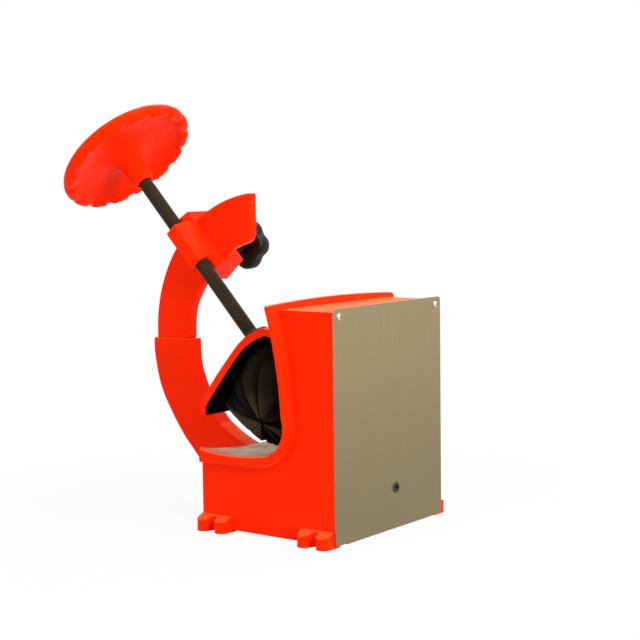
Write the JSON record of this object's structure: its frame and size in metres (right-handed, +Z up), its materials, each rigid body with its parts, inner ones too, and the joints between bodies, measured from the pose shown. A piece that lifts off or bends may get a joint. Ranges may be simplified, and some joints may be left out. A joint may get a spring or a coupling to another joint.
{
  "type": "tire vulcanizing machine",
  "caption": "Bench press that vulcanizes tyre patches: heated cast saddle, bowed arm, hand screw with a dished wheel, and a leather pressure bag under a swivelling shoe.",
  "frame": {"origin": "on the bench plane, in the middle of the four foot notches", "axes": "+Z up; +X from the bowed arm to the steel side cover; +Y from the front along the tyre's tread"},
  "size_m": [0.4956, 0.273, 0.5477],
  "materials": {
    "orange_paint": "semi gloss stoving paint on castings",
    "platen_steel": "bare worn sheet",
    "brushed_stainless": "vertical brushed sheet",
    "bright_screws": "plated",
    "oiled_steel": "dark oiled thread",
    "plain_steel": "zinc plated",
    "soft_brass": "plain",
    "knob_plastic": "black moulded",
    "ceramic": "unglazed ceramic",
    "grommet_rubber": "black",
    "bag_leather": "dark worn leather"
  },
  "bodies": {
    "machine": {"arm_bolts": "plain_steel", "arm_pins": "plain_steel", "body_casting": "orange_paint", "cable_grommet": "grommet_rubber", "cover_screws": "bright_screws", "earth_screw": "soft_brass", "heater_clamps": "plain_steel", "heater_element": "plain_steel", "heater_nuts": "plain_steel", "heater_studs": "plain_steel", "lower_arm": "orange_paint", "platen": "platen_steel", "side_cover": "brushed_stainless", "terminal_block": "ceramic", "terminal_screws": "plain_steel", "thermostat": "plain_steel", "thermostat_screws": "plain_steel", "upper_arm": "orange_paint"},
    "collar": {"clamp_collar": "orange_paint"},
    "lock_pad": {"lock_pad": "soft_brass"},
    "lock": {"lock_screw": "plain_steel", "lock_knob": "knob_plastic"},
    "shoe": {"pressure_shoe": "orange_paint", "thrust_disc": "soft_brass", "swivel_keeper": "plain_steel", "keeper_screws": "plain_steel", "pressure_bag": "bag_leather", "bag_bar": "plain_steel", "bag_screws": "plain_steel", "hood_lining": "bag_leather"},
    "hand_screw": {"spindle": "oiled_steel", "handwheel": "orange_paint", "wheel_washer": "plain_steel", "wheel_nut": "plain_steel"}
  },
  "joints": [
    {"name": "collar_swing", "type": "hinge", "parent": "machine", "child": "collar", "pos_m": [-0.0895, 0, 0.238], "axis": [0, 1, 0], "range_deg": [-4, 10]},
    {"name": "lock_pad_slide", "type": "slide", "parent": "collar", "child": "lock_pad", "axis": [0, 1, 0], "range_m": [0, 0.00438]},
    {"name": "lock_knob_turn", "type": "hinge", "parent": "lock_pad", "child": "lock", "pos_m": [-0.19638, 0, 0.35342], "axis": [0, 1, 0], "range_deg": [0, 900]},
    {"name": "shoe_slide", "type": "slide", "parent": "collar", "child": "shoe", "axis": [-0.6794, 0, 0.7337], "range_m": [0, 0.1]},
    {"name": "spindle_turn", "type": "hinge", "parent": "shoe", "child": "hand_screw", "pos_m": [-0.0895, -0.027, 0.238], "axis": [-0.6794, 0, 0.7337], "range_deg": [0, 14170]}
  ],
  "couplings": [
    {"joint": "lock_knob_turn", "follows": "lock_pad_slide", "rad_per_m": 3590.4},
    {"joint": "shoe_slide", "follows": "spindle_turn", "m_per_rad": 0.00040425}
  ]
}
